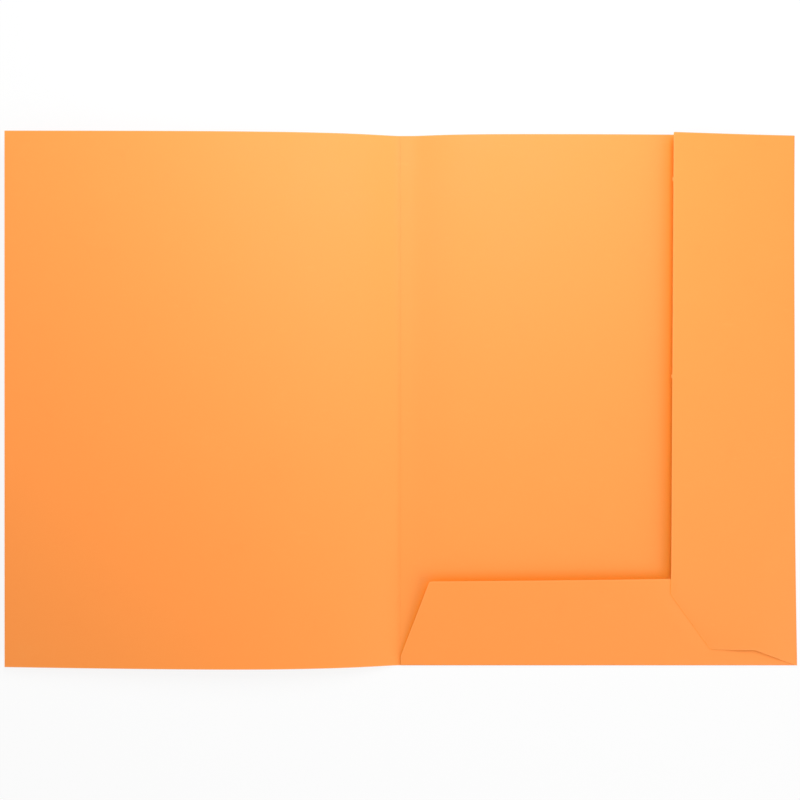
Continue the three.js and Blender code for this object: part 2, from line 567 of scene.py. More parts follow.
    def _painted_hollow_shade(self) -> Tree:
        """Paints shade into the colour: deepens it and takes out blue where ambient occlusion finds
        other surfaces close by.

        Returns:
            The group's tree.
        """
        tree, canvas, start, end = self._group(
            "Painted Hollow Shade",
            {
                "Color": ("NodeSocketColor", (1.0, 0.4, 0.1, 1.0)),
                "Tint": ("NodeSocketColor", WHITE),
                "Reach": ("NodeSocketFloat", 15 * MM),
                "Fully": ("NodeSocketFloat", 0.5),
            },
            {"Color": "NodeSocketColor"},
        )
        reach = {"Distance": start.outputs["Reach"]}
        sky = canvas.add("ShaderNodeAmbientOcclusion", reach, samples=8)
        # The occlusion found here is painted into the colour as shade.
        painted_shade_share = canvas.remap(sky.outputs["AO"], 1.0, start.outputs["Fully"])
        color, tint = start.outputs["Color"], start.outputs["Tint"]
        canvas.feed(end.inputs["Color"], canvas.mix_colour(painted_shade_share, color, tint, "MULTIPLY"))
        return tree

    def material(self, finish: CardFinish) -> Material:
        """Makes the material of one finish.

        Args:
            finish: the colours and scales of the card.

        Returns:
            A material that reads Object coordinates and the cut_mm and fold_mm attributes.
        """
        material = bpy.data.materials.new(finish.name)
        canvas = NodeCanvas.cleared(material)
        place = canvas.add("ShaderNodeTexCoord").outputs["Object"]
        cut = canvas.add("ShaderNodeAttribute", attribute_name="cut_mm").outputs["Fac"]
        fold = canvas.add("ShaderNodeAttribute", attribute_name="fold_mm").outputs["Fac"]
        pulp = self._use(
            canvas,
            self.pulp,
            Vector=place,
            Scale=finish.pulp_scale,
            Contrast=finish.pulp_contrast,
        )
        grain = self._use(canvas, self.fibres, Vector=place, Scale=finish.fibre_scale)
        wear = self._use(
            canvas,
            self.wear,
            **{
                "Cut Distance": cut,
                "Fold Distance": fold,
                "Edge Width": finish.edge_width,
                "Fold Width": finish.fold_width,
                "Pulp": pulp.outputs["Mask"],
            },
        )
        edge = canvas.math("MULTIPLY", wear.outputs["Edge"], finish.edge_wear)
        crease = canvas.math("MULTIPLY", wear.outputs["Fold"], finish.fold_wear)
        colour = self._use(
            canvas,
            self.colour,
            Base=(*finish.base, 1.0),
            Light=(*finish.light, 1.0),
            Deep=(*finish.deep, 1.0),
            Pulp=pulp.outputs["Mask"],
            Fleck=grain.outputs["Fleck"],
            Edge=edge,
            Fold=crease,
        )
        # Painted shade: the colour deepens and loses blue in hollows, by ambient occlusion.
        painted_shade = self._use(
            canvas,
            self.painted_shade,
            Color=colour.outputs["Color"],
            Tint=(*finish.painted_shade_tint, 1.0),
            Reach=finish.painted_shade_reach,
            Fully=finish.painted_shade_fully,
        )
        low, high = finish.roughness - finish.smoother, finish.roughness + finish.rougher
        rough = canvas.remap(pulp.outputs["Mask"], 0.2, 0.8, low, high)
        rough = canvas.math("SUBTRACT", rough, canvas.math("MULTIPLY", crease, finish.fold_polish))
        soft = canvas.math("MULTIPLY", pulp.outputs["Mask"], finish.pulp_relief)
        relief = canvas.math("ADD", grain.outputs["Height"], soft)
        bump = canvas.add(
            "ShaderNodeBump",
            {"Strength": finish.fibre_relief, "Distance": finish.fibre_depth, "Height": relief},
        )
        shader = canvas.add("ShaderNodeBsdfPrincipled")
        canvas.feed(shader.inputs["Base Color"], painted_shade.outputs["Color"])
        canvas.feed(shader.inputs["Roughness"], rough)
        canvas.feed(shader.inputs["Normal"], bump.outputs["Normal"])
        shader.inputs["IOR"].default_value = finish.refraction
        shader.inputs["Sheen Weight"].default_value = finish.sheen
        shader.inputs["Sheen Roughness"].default_value = finish.sheen_roughness
        out = canvas.add("ShaderNodeOutputMaterial")
        canvas.feed(out.inputs["Surface"], shader.outputs[0])
        return material

    @staticmethod
    def _use(canvas: NodeCanvas, group: Tree, **values: object) -> Node:
        """Places a group in a material with its own values.

        Args:
            canvas: the material's canvas.
            group: the group.
            **values: the group's input values by name.

        Returns:
            The group's node.
        """
        node = canvas.add("ShaderNodeGroup", node_tree=group)
        for key, value in values.items():
            canvas.feed(node.inputs[key], value)
        return node


@dataclass
class CardNet:
    """A net of points over one piece of the flat sheet, and the faces between them."""

    across: np.ndarray
    along: np.ndarray
    faces: list[tuple[int, ...]]

    @classmethod
    def grid(cls, across: Sequence[float], along: Sequence[float]) -> "CardNet":
        """A rectangular net.

        Args:
            across: stations in the first direction, increasing.
            along: stations in the second direction, increasing.

        Returns:
            The net, with its faces turned up.
        """
        first, second = np.meshgrid(across, along, indexing="ij")
        columns = len(along)
        faces = [
            (i * columns + j, (i + 1) * columns + j, (i + 1) * columns + j + 1, i * columns + j + 1)
            for i in range(len(across) - 1)
            for j in range(columns - 1)
        ]
        return cls(first.ravel(), second.ravel(), faces)

    @classmethod
    def cut_out(cls, outline: Sequence[Point], spacing: float, band: float) -> "CardNet":
        """A net that fills a die-cut outline, divided by a square grid.

        Args:
            outline: the corners, anticlockwise.
            spacing: the grid's step.
            band: width of the row of faces along the cut edge.

        Returns:
            The net, with its faces turned up.
        """
        work = bmesh.new()
        work.faces.new([work.verts.new((x, y, 0)) for x, y in outline])
        bmesh.ops.inset_region(work, faces=work.faces[:], thickness=band, use_even_offset=True)
        corners = np.array(outline)
        for axis in (0, 1):
            low, high = corners[:, axis].min(), corners[:, axis].max()
            for station in np.arange(low + spacing, high - spacing / 4, spacing):
                centre = [0.0, 0.0, 0.0]
                normal = [0.0, 0.0, 0.0]
                centre[axis], normal[axis] = station, 1.0
                bmesh.ops.bisect_plane(
                    work,
                    geom=work.verts[:] + work.edges[:] + work.faces[:],
                    plane_co=centre,
                    plane_no=normal,
                    dist=MERGE,
                )
        bmesh.ops.recalc_face_normals(work, faces=work.faces[:])
        if sum(face.normal.z for face in work.faces) < 0:
            bmesh.ops.reverse_faces(work, faces=work.faces[:])
        work.verts.index_update()
        points = np.array([vertex.co for vertex in work.verts])
        faces = [tuple(vertex.index for vertex in face.verts) for face in work.faces]
        work.free()
        return cls(points[:, 0], points[:, 1], faces)

    def rim(self) -> list[tuple[int, int]]:
        """The net's open edges, with the card on their left.

        Returns:
            The start and end point of each edge.
        """
        edges = dict.fromkeys(
            edge for face in self.faces for edge in zip(face, face[1:] + face[:1])
        )
        return [edge for edge in edges if edge[::-1] not in edges]


@dataclass
class CardPiece:
    """One piece of card: a net laid over a surface and given its thickness."""

    name: str
    net: CardNet
    surface: Surface
    cut_mm: np.ndarray
    fold_mm: np.ndarray
    sheet: Sheet
    relief: np.ndarray | None = None

    def build(self, face: Material, core: Material) -> Piece:
        """Makes the closed mesh.

        Args:
            face: the material of both faces.
            core: the material of the cut edges.

        Returns:
            The object, at the origin, with cut_mm and fold_mm attributes.
        """
        middle, normal = self._laid()
        count = len(middle)
        card = self.sheet.card
        relief = np.zeros(count) if self.relief is None else self.relief
        crushed = 1 - smooth_step(self.cut_mm * MM / self.sheet.crushed_band)
        relief = relief + self.sheet.crushed_depth * crushed
        upper = middle + normal * (card / 2 - relief)[:, None]
        lower = middle - normal * (card / 2)
        rim = self.net.rim()
        outward = np.zeros_like(middle)
        for start, end in rim:
            step = np.cross(middle[end] - middle[start], normal[start])
            step /= max(np.linalg.norm(step), TINY)
            outward[start] += step
            outward[end] += step
        ring = sorted({index for edge in rim for index in edge})
        place = {index: 2 * count + k for k, index in enumerate(ring)}
        lengths = np.linalg.norm(outward[ring], axis=1, keepdims=True)
        away = outward[ring] / np.maximum(lengths, TINY)
        swell = middle[ring] + away * card * self.sheet.edge_swell
        points = np.vstack([upper, lower, swell])
        faces = list(self.net.faces)
        faces += [tuple(count + index for index in reversed(corners)) for corners in self.net.faces]
        for start, end in rim:
            faces.append((place[start], place[end], end, start))
            faces.append((count + start, count + end, place[end], place[start]))
        mesh = bpy.data.meshes.new(self.name)
        mesh.from_pydata(points.tolist(), [], faces)
        mesh.materials.append(face)
        mesh.materials.append(core)
        kinds = np.zeros(len(faces), dtype=np.int32)
        kinds[2 * len(self.net.faces) :] = 1
        mesh.polygons.foreach_set("material_index", kinds)
        source = np.concatenate([np.arange(count), np.arange(count), ring])
        shade(mesh, self.cut_mm[source], self.fold_mm[source])
        self._sharpen(mesh)
        mesh.validate()
        piece = bpy.data.objects.new(self.name, mesh)
        bpy.context.scene.collection.objects.link(piece)
        return piece

    def _laid(self) -> tuple[np.ndarray, np.ndarray]:
        """The net's points on the surface, and the surface's normals there.

        Returns:
            One row of three coordinates for each point, and one for each normal.
        """
        step = 0.02 * MM
        a, b = self.net.across, self.net.along
        middle = self.surface(a, b)
        along_a = self.surface(a + step, b) - self.surface(a - step, b)
        along_b = self.surface(a, b + step) - self.surface(a, b - step)
        normal = np.cross(along_a, along_b)
        normal /= np.linalg.norm(normal, axis=1, keepdims=True)
        return middle, normal

    @staticmethod
    def _sharpen(mesh: bpy.types.Mesh) -> None:
        """Marks the edges between a face of the card and its cut edge as sharp.

        Args:
            mesh: the closed mesh.
        """
        work = bmesh.new()
        work.from_mesh(mesh)
        for edge in work.edges:
            kinds = {face.material_index for face in edge.link_faces}
            edge.smooth = len(kinds) < 2
        work.to_mesh(mesh)
        work.free()


def shade(mesh: bpy.types.Mesh, cut_mm: np.ndarray, fold_mm: np.ndarray) -> None:
    """Shades a mesh smooth and tells its points how far they lie from the edges.

    Args:
        mesh: the mesh.
        cut_mm: distance of each point from the nearest cut edge.
        fold_mm: distance of each point from the nearest scored line.
    """
    mesh.polygons.foreach_set("use_smooth", np.ones(len(mesh.polygons), dtype=bool))
    for label, values in (("cut_mm", cut_mm), ("fold_mm", fold_mm)):
        attribute = mesh.attributes.new(label, "FLOAT", "POINT")
        attribute.data.foreach_set("value", values.astype(np.float32))


def stations(low: float, high: float, count: int, ease: float = 1.0) -> np.ndarray:
    """Evenly eased stations from low to high, closer together at low where ease is over 1."""
    return low + (high - low) * np.linspace(0, 1, count + 1) ** ease


def banded(values: np.ndarray, band: float, low: bool = False, high: bool = False) -> np.ndarray:
    """Adds a station close to the first or last one, for the crushed band along a cut edge."""
    extra = ([values[0] + band] if low else []) + ([values[-1] - band] if high else [])
    return np.unique(np.concatenate([values, extra]))


def smooth_step(values: np.ndarray) -> np.ndarray:
    """A smooth ramp from 0 to 1."""
    share = np.clip(values, 0, 1)
    return share * share * (3 - 2 * share)


def settle(piece: Piece, body: Body, node: str) -> Piece:
    """Puts a finished piece on its body in place of the plain solid.

    Args:
        piece: the finished object.
        body: what it rides on.
        node: the solid that it stands for.

    Returns:
        The same object.
    """
    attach(piece, body.value)
    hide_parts(node)
    return piece


@dataclass
class Cover:
    """The front cover, bowed from the spine and twisted towards its upper corner."""

    sheet: Sheet
    columns: int = 74
    column_ease: float = 1.5
    rows: int = 80
    closed_tilt: float = math.radians(8)
    closed_keep: float = 0.3

    def surface(self, share: np.ndarray, y: np.ndarray) -> np.ndarray:
        """Places points by their share of the way from the free edge to the spine strip.

        Args:
            share: 0 at the free edge, 1 at the strip.
            y: height on the page.

        Returns:
            One row of three coordinates for each point.
        """
        sheet = self.sheet
        up = (y - sheet.bottom_y) / sheet.height
        reach = sheet.reach_low + (sheet.reach_high - sheet.reach_low) * up
        distance = reach + (sheet.spine_half - reach) * share
        height = sheet.cover_height(distance, y)
        return np.stack([sheet.spine_x - distance, y, height], axis=-1)

    def build(self, face: Material, core: Material) -> Piece:
        """Makes the cover.

        Args:
            face: material of its faces.
            core: material of its cut edges.

        Returns:
            The finished cover.
        """
        sheet = self.sheet
        across = 1 - stations(0, 1, self.columns, self.column_ease)[::-1]
        band = sheet.crushed_band
        across = banded(across, band / sheet.reach_low, low=True)
        along = banded(stations(sheet.bottom_y, sheet.top_y, self.rows), band, low=True, high=True)
        net = CardNet.grid(across, along)
        place = self.surface(net.across, net.along)
        distance = sheet.spine_x - place[:, 0]
        to_ends = sheet.top_y - np.abs(place[:, 1])
        to_free = net.across * (sheet.reach_low - sheet.spine_half)
        cut = np.minimum(to_ends, to_free) / MM
        fold = distance / MM
        piece = CardPiece("front_cover_card", net, self.surface, cut, fold, sheet).build(face, core)
        settle(piece, Body.COVER, "front_cover")
        hinge_height = float(sheet.cover_height(np.array(sheet.spine_half), np.array(0.0)))
        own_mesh(piece)
        return piece


@dataclass
class BackPanel:
    """The back panel, flat along its folds and lifted a little at its upper edge."""

    sheet: Sheet
    lift: float = 5.3 * MM
    lift_ease: float = 8 * MM
    lift_length: float = 18 * MM
    columns: int = 64
    column_ease: float = 1.25
    rows: int = 72
    closed_keep: float = 0.35

    @property
    def reach(self) -> float:
        """How far the panel reaches from the spine line to the right fold's strip."""
        return self.sheet.side_axis[0] - self.sheet.fold_arm - self.sheet.spine_x

    @property
    def low_y(self) -> float:
        """Where the panel meets the bottom fold's strip."""
        return self.sheet.bottom_axis[0] + self.sheet.fold_arm

    def height(self, across: np.ndarray, y: np.ndarray) -> np.ndarray:
        """Height of the middle of the card, by distance from the spine line.

        Args:
            across: distance from the spine line.
            y: height on the page.

        Returns:
            The height above the table of each point.
        """
        sheet = self.sheet
        start = sheet.spine_half
        up = np.clip((y - self.low_y) / (sheet.top_y - self.low_y), 0, 1)
        way = np.clip((across - start) / (self.reach - start), 0, 1)
        run = np.hypot(np.clip(across - start, 0, None), self.lift_ease) - self.lift_ease
        rise = (1 - np.exp(-run / self.lift_length)) * (1 - way**3)
        return sheet.card / 2 + self.lift * rise * up

    def surface(self, across: np.ndarray, y: np.ndarray) -> np.ndarray:
        """Places points by their distance from the spine line and height on the page."""
        return np.stack([self.sheet.spine_x + across, y, self.height(across, y)], axis=-1)

    def build(self, face: Material, core: Material) -> Piece:
        """Makes the panel.

        Args:
            face: material of its faces.
            core: material of its cut edges.

        Returns:
            The finished panel.
        """
        sheet = self.sheet
        across = stations(sheet.spine_half, self.reach, self.columns, self.column_ease)
        along = banded(stations(self.low_y, sheet.top_y, self.rows), sheet.crushed_band, high=True)
        net = CardNet.grid(across, along)
        cut = (sheet.top_y - net.along) / MM
        side = sheet.panel_width - net.across
        fold = np.minimum(np.minimum(net.across, side), net.along - sheet.bottom_y) / MM
        piece = CardPiece("back_panel_card", net, self.surface, cut, fold, sheet).build(face, core)
        settle(piece, Body.BACK, "back_panel")
        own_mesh(piece)
        return piece


@dataclass
class SpineStrip:
    """The rolled strip at the spine, with the score's fine groove along its middle."""

    sheet: Sheet
    groove_depth: float = 0.06 * MM
    groove_half: float = 0.45 * MM
    bend_from: float = 0.6 * MM
    hair: float = 0.01 * MM
    score_half: float = 1.2 * MM
    score_left_mm: tuple[float, ...] = (-0.9, -0.6, -0.45, -0.3, -0.18, -0.09, 0.0)
    score_right_mm: tuple[float, ...] = (0.09, 0.3, 0.45, 0.58, 0.6, 0.9)
    left_columns: int = 24
    right_columns: int = 8
    rows: int = 80

    def surface(self, across: np.ndarray, share: np.ndarray) -> np.ndarray:
        """Places points by distance from the spine line and share of the strip's length.

        Args:
            across: distance from the spine line, negative on the cover's side.
            share: 0 at the lower end, 1 at the upper end.

        Returns:
            One row of three coordinates for each point.
        """
        sheet = self.sheet
        short = sheet.bottom_axis[0] + sheet.fold_arm
        low = np.where(across > self.bend_from - self.hair, short, sheet.bottom_y)
        y = low + (sheet.top_y - low) * share
        flat = np.full_like(across, sheet.card / 2)
        risen = sheet.cover_height(np.abs(across), y)
        height = np.where(across < 0, risen, flat)
        return np.stack([sheet.spine_x + across, y, height], axis=-1)

    def build(self, face: Material, core: Material) -> Piece:
        """Makes the strip.

        Args:
            face: material of its faces.
            core: material of its cut edges.

        Returns:
            The finished strip.
        """
        sheet = self.sheet
        half = sheet.spine_half
        left = np.linspace(-half, -self.score_half, self.left_columns)
        right = np.linspace(self.score_half, half, self.right_columns)
        score = np.array(self.score_left_mm + self.score_right_mm) * MM
        across = np.concatenate([left, score, right])
        band = sheet.crushed_band / sheet.height
        share = banded(stations(0, 1, self.rows), band, low=True, high=True)
        net = CardNet.grid(across, share)
        place = self.surface(net.across, net.along)
        cut = (sheet.top_y - np.abs(place[:, 1])) / MM
        fold = np.abs(net.across) / MM
        groove = self.groove_depth * (1 - smooth_step(np.abs(net.across) / self.groove_half))
        card = CardPiece("spine_strip_card", net, self.surface, cut, fold, sheet, groove)
        piece = card.build(face, core)
        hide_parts("spine_fold")
        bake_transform(piece)
        return piece


@dataclass
class SideFlap:
    """The tall flap at the right, with its cut-away lower end and two die nicks."""

    sheet: Sheet
    width: float = 75.3 * MM
    start: float = 0.7 * MM
    toe: Point = (23.8 * MM, 9.7 * MM)
    heel: Point = (50.4 * MM, 10.0 * MM)
    chin: float = 43.8 * MM
    nicks: tuple[float, ...] = (132 * MM, 14.5 * MM)
    nick_length: float = 2.4 * MM
    nick_depth: float = 0.6 * MM
    nick_ease: float = 0.4 * MM
    corner: float = 1.5 * MM
    toe_corner: float = 0.6 * MM
    top_corner: float = 0.8 * MM
    spring: float = math.radians(-0.4)
    twist: float = math.radians(2.6) / (155 * MM)
    droop: float = math.radians(-6.3)
    droop_start: float = -98 * MM
    droop_span: float = 62 * MM
    droop_power: float = 1.6
    bend_ease: float = 36 * MM
    worn_depth: float = 0.27 * MM
    worn_band: float = 4 * MM
    worn_top: float = 54 * MM
    worn_fade: float = 6 * MM
    worn_from: float = 36 * MM
    worn_span: float = 14 * MM
    clearing: float = 0.1
    clear_after: float = 2 * MM
    open_keep: float = 0.15
    spacing: float = 2 * MM

    def outline(self) -> list[Point]:
        """The flap's outline, as distance from the fold's axis and height on the page.

        Returns:
            The corners in turn, from the foot at the fold.
        """
        sheet = self.sheet
        low = sheet.bottom_y
        first = sheet.fold_arm
        foot = (first, low + self.start + self.low_slope * first)
        toe = (self.toe[0], low + self.toe[1])
        heel = (self.heel[0], low + self.heel[1])
        chin = (self.width, low + self.chin)
        high = (self.width, sheet.top_y)
        points = [foot]
        points += rounded(foot, toe, heel, self.toe_corner)
        points += rounded(toe, heel, chin, self.corner)
        points += rounded(heel, chin, high, self.corner)
        half = self.nick_length / 2
        flat = half - self.nick_ease
        for height in sorted(self.nicks):
            points += [
                (self.width, height - half),
                (self.width + self.nick_depth, height - flat),
                (self.width + self.nick_depth, height + flat),
                (self.width, height + half),
            ]
        points += rounded(chin, high, (first, sheet.top_y), self.top_corner)
        points.append((first, sheet.top_y))
        return points

    @property
    def low_slope(self) -> float:
        """How fast the cut edge climbs from the corner to the toe."""
        return (self.toe[1] - self.start) / self.toe[0]

    def stand_off(self, reach: np.ndarray, y: np.ndarray) -> np.ndarray:
        """How far the card stands off its fold's plane.

        It springs up more towards the top, and its lower end comes down on the bottom flap.

        Args:
            reach: distance from the fold's axis along the flap.
            y: height on the page.

        Returns:
            The distance of the card's middle from the plane through the axis.
        """
        low = np.clip((self.droop_start - y) / self.droop_span, 0, None)
        spring = self.spring + self.twist * y + self.droop * low**self.droop_power
        past = np.clip(reach - self.sheet.fold_arm, 0, None)
        return self.sheet.side_roll + past**3 / (past**2 + self.bend_ease**2) * np.tan(spring)

    def surface(self, reach: np.ndarray, y: np.ndarray) -> np.ndarray:
        """Lays points of the flat flap on its fold.

        Args:
            reach: distance from the fold's axis along the flap.
            y: height on the page.

        Returns:
            One row of three coordinates for each point.
        """
        sheet = self.sheet
        out = self.stand_off(reach, y)
        cosine, sine = sheet.lift_way
        x = sheet.side_axis[0] - reach * cosine + out * sine
        z = sheet.side_axis[1] + reach * sine + out * cosine
        return np.stack([x, y, z], axis=-1)

    def mirrored_surface(self, across: np.ndarray, y: np.ndarray) -> np.ndarray:
        """Lays points whose distance from the fold's axis is counted as negative."""
        return self.surface(-across, y)

    def edge_at(self, y: np.ndarray) -> np.ndarray:
        """How far the flap reaches from its fold's axis at a height on the page.

        Args:
            y: height on the page.

        Returns:
            The distance from the axis to the cut edge.
        """
        low = self.sheet.bottom_y
        heights = [low + self.heel[1], low + self.chin]
        return np.interp(y, heights, [self.heel[0], self.width])

    def height_at(self, x: np.ndarray, y: np.ndarray) -> np.ndarray:
        """Height of the flap's middle over a place on the table.

        Past the flap's edge the height climbs away, so that what lies under it may rise.

        Args:
            x: place across the folder.
            y: height on the page.

        Returns:
            The height above the table of the middle of the flap's card.
        """
        sheet = self.sheet
        cosine, sine = sheet.lift_way
        reach = (sheet.side_axis[0] - x) / cosine
        edge = self.edge_at(y)
        inside = np.minimum(reach, edge)
        beyond = np.maximum(reach - edge - self.clear_after, 0)
        height = sheet.side_axis[1] + inside * sine + self.stand_off(inside, y) * cosine
        return height + beyond * self.clearing

    def worn_relief(self, cut: np.ndarray, reach: np.ndarray, y: np.ndarray) -> np.ndarray:
        """How much thinner the card is pressed where its cut edge lies on the bottom flap.

        Args:
            cut: distance from the cut edge.
            reach: distance from the fold's axis along the flap.
            y: height on the page.

        Returns:
            The depth of the pressed rim, none along the toe, which stands clear.
        """
        rim = 1 - smooth_step(cut / self.worn_band)
        top = self.sheet.bottom_y + self.worn_top + self.worn_fade / 2
        lower = smooth_step((top - y) / self.worn_fade)
        inner = smooth_step((reach - self.worn_from) / self.worn_span)
        return self.worn_depth * rim * lower * inner

    def build(self, face: Material, core: Material) -> Piece:
        """Makes the flap.

        Args:
            face: material of its faces.
            core: material of its cut edges.

        Returns:
            The finished flap.
        """
        sheet = self.sheet
        mirrored = [(-reach, y) for reach, y in self.outline()]
        net = CardNet.cut_out(mirrored[::-1], self.spacing, sheet.crushed_band)
        cut = outline_distance(net, mirrored, 0, -sheet.fold_arm) / MM
        fold = -net.across / MM
        worn = self.worn_relief(cut * MM, -net.across, net.along)
        card = CardPiece("side_flap_card", net, self.mirrored_surface, cut, fold, sheet, worn)
        piece = card.build(face, core)
        settle(piece, Body.SIDE_FLAP, "side_flap")
        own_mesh(piece)
        return piece


@dataclass
class BottomFlap:
    """The low flap along the bottom, slanted by the spine and mitred under the side flap."""

    sheet: Sheet
    upper_flap: SideFlap
    height_left: float = 51.2 * MM
    height_right: float = 52.9 * MM
    start: float = 0.6 * MM
    slant_from: float = 5.2 * MM
    corner_reach: float = 17.9 * MM
    mitre_start: float = 2 * MM
    mitre_slope: float = 1.1
    corner: float = 1.5 * MM
    spring: float = math.radians(1.1)
    free_width: float = 175 * MM
    corner_droop: float = math.radians(-6)
    corner_from: float = 190 * MM
    corner_span: float = 16 * MM
    bend_ease: float = 9 * MM
    contact_gap: float = 0.03 * MM
    contact_ease: float = 0.15 * MM
    contact_from: float = 4 * MM
    open_keep: float = 0.25
    spacing: float = 2 * MM

    def right_at(self, height: float) -> float:
        """Where the mitred right end lies at a distance from the fold's axis."""
        return self.sheet.panel_width - self.mitre_start - self.mitre_slope * height

    def outline(self) -> list[Point]:
        """The flap's outline, as distance from the spine line and from the fold's axis.

        Returns:
            The corners in turn, from the lower left one.
        """
        first = self.sheet.fold_arm
        low_left = (self.start, first)
        low_right = (self.right_at(first), first)
        high_right = (self.right_at(self.height_right), self.height_right)
        high_left = (self.corner_reach, self.height_left)
        bend = (self.start, self.slant_from)
        points = [low_left, low_right]
        points += rounded(low_right, high_right, high_left, self.corner)
        points += rounded(high_right, high_left, bend, self.corner)
        points += rounded(high_left, bend, low_left, self.corner)
        return points

    def surface(self, across: np.ndarray, reach: np.ndarray) -> np.ndarray:
        """Lays points of the flat flap on its fold.

        It springs up in the middle of its free length and gives way under the side flap.

        Args:
            across: distance from the spine line.
            reach: distance from the fold's axis along the flap.

        Returns:
            One row of three coordinates for each point.
        """
        sheet = self.sheet
        spring = self.spring * np.sin(np.clip(across / self.free_width, 0, 1) * math.pi)
        drooping = smooth_step((across - self.corner_from) / self.corner_span)
        spring = spring + self.corner_droop * drooping
        past = np.clip(reach - sheet.fold_arm, 0, None)
        out = sheet.bottom_roll + past**2 / (past + self.bend_ease) * np.tan(spring)
        cosine, sine = sheet.lift_way
        x = sheet.spine_x + across
        y = sheet.bottom_axis[0] + reach * cosine - out * sine
        free = sheet.bottom_axis[1] + reach * sine + out * cosine
        roof = self.upper_flap.height_at(x, y) - sheet.card - self.contact_gap
        pressed = self.contact_ease * np.logaddexp(0, (free - roof) / self.contact_ease)
        z = free - pressed * smooth_step(past / self.contact_from)
        return np.stack([x, y, z], axis=-1)

    def build(self, face: Material, core: Material) -> Piece:
        """Makes the flap.

        Args:
            face: material of its faces.
            core: material of its cut edges.

        Returns:
            The finished flap.
        """
        sheet = self.sheet
        outline = self.outline()
        net = CardNet.cut_out(outline, self.spacing, sheet.crushed_band)
        cut = outline_distance(net, outline, 1, sheet.fold_arm) / MM
        fold = net.along / MM
        piece = CardPiece("bottom_flap_card", net, self.surface, cut, fold, sheet).build(face, core)
        settle(piece, Body.BOTTOM_FLAP, "bottom_flap")
        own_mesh(piece)
        return piece


def rounded(before: Point, corner: Point, after: Point, radius: float, count: int = 7) -> list[Point]:
    """Points that round one corner of an outline.

    Args:
        before: the point before the corner.
        corner: the corner itself.
        after: the point after it.
        radius: how far from the corner the rounding starts.
        count: how many points the rounding has.

    Returns:
        The points from one side of the corner to the other.
    """
    middle = Vector(corner)
    start = middle + (Vector(before) - middle).normalized() * radius
    end = middle + (Vector(after) - middle).normalized() * radius
    points = []
    for share in np.linspace(0, 1, count):
        point = start * (1 - share) ** 2 + middle * 2 * share * (1 - share) + end * share**2
        points.append((point.x, point.y))
    return points


def outline_distance(net: CardNet, outline: Sequence[Point], axis: int, fold: float) -> np.ndarray:
    """Distance of each point of a net from the outline's cut edges.

    Args:
        net: the points.
        outline: the outline's corners.
        axis: which coordinate tells the folded edge, 0 or 1.
        fold: the folded edge's place on it, left out because it isn't cut.

    Returns:
        One distance for each point.
    """
    best = np.full(len(net.across), np.inf)
    points = np.stack([net.across, net.along], axis=-1)
    for first, second in zip(outline, list(outline[1:]) + [outline[0]]):
        if max(abs(first[axis] - fold), abs(second[axis] - fold)) < TOUCH:
            continue
        start, way = np.array(first), np.array(second) - np.array(first)
        share = np.clip((points - start) @ way / max(way @ way, TINY), 0, 1)
        best = np.minimum(best, np.linalg.norm(points - start - share[:, None] * way, axis=1))
    return best


